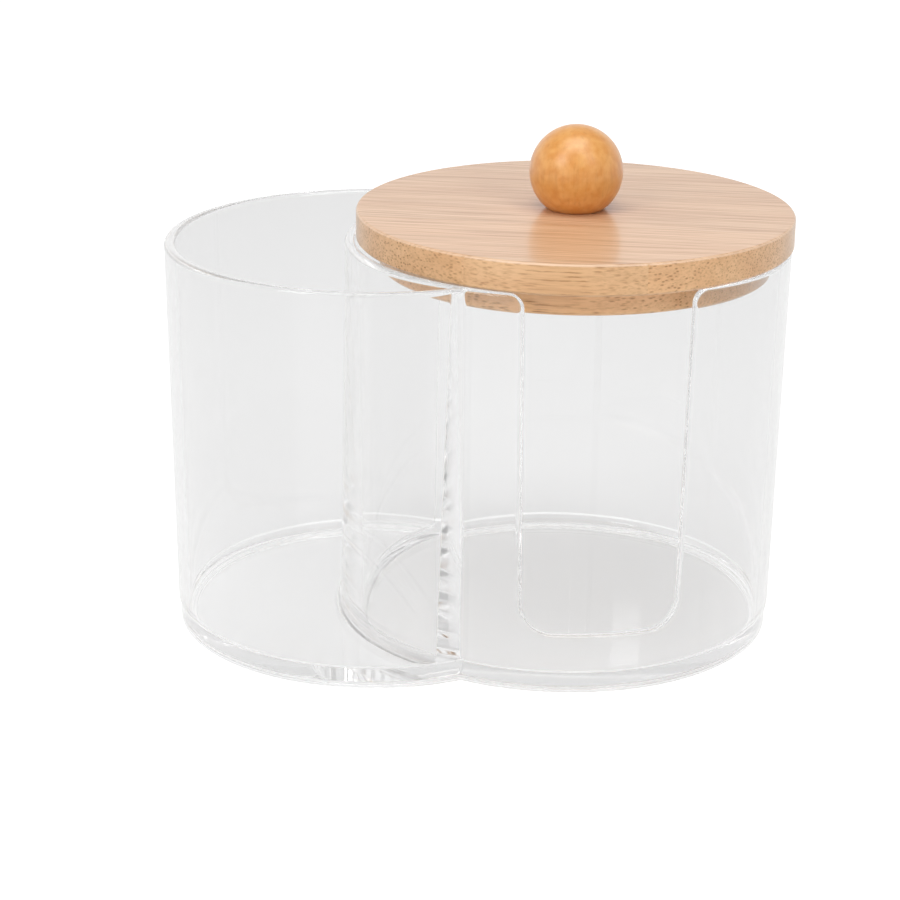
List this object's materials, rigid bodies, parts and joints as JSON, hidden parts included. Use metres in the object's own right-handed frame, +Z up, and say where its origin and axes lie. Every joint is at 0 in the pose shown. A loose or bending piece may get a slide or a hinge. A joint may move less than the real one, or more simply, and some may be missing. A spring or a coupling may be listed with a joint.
{
  "type": "cotton pad holder",
  "caption": "Clear lobed cotton pad holder with a tall front window in its larger cup and a round bamboo lid with a ball knob.",
  "frame": {"origin": "on the ground, under the middle of the whole object's box, container and lid together", "axes": "+Z up; +X from the smaller cup to the larger one that carries the lid; -Y towards the window"},
  "size_m": [0.0972, 0.0692, 0.08],
  "materials": {
    "clear_plastic": "clear, polished",
    "bamboo": "satin lacquer over fine straight grain",
    "knob_wood": "amber varnish",
    "zinc_steel": "bright zinc plating"
  },
  "bodies": {
    "container": {"container": "clear_plastic"},
    "lid": {"lid_strip_1": "bamboo", "lid_strip_2": "bamboo", "lid_strip_3": "bamboo", "lid_strip_4": "bamboo", "lid_strip_5": "bamboo", "knob": "knob_wood", "knob_screw": "zinc_steel"}
  },
  "joints": [
    {"name": "lid_lift", "type": "slide", "parent": "container", "child": "lid", "axis": [0, 0, 1], "range_m": [0, 0.06]}
  ]
}
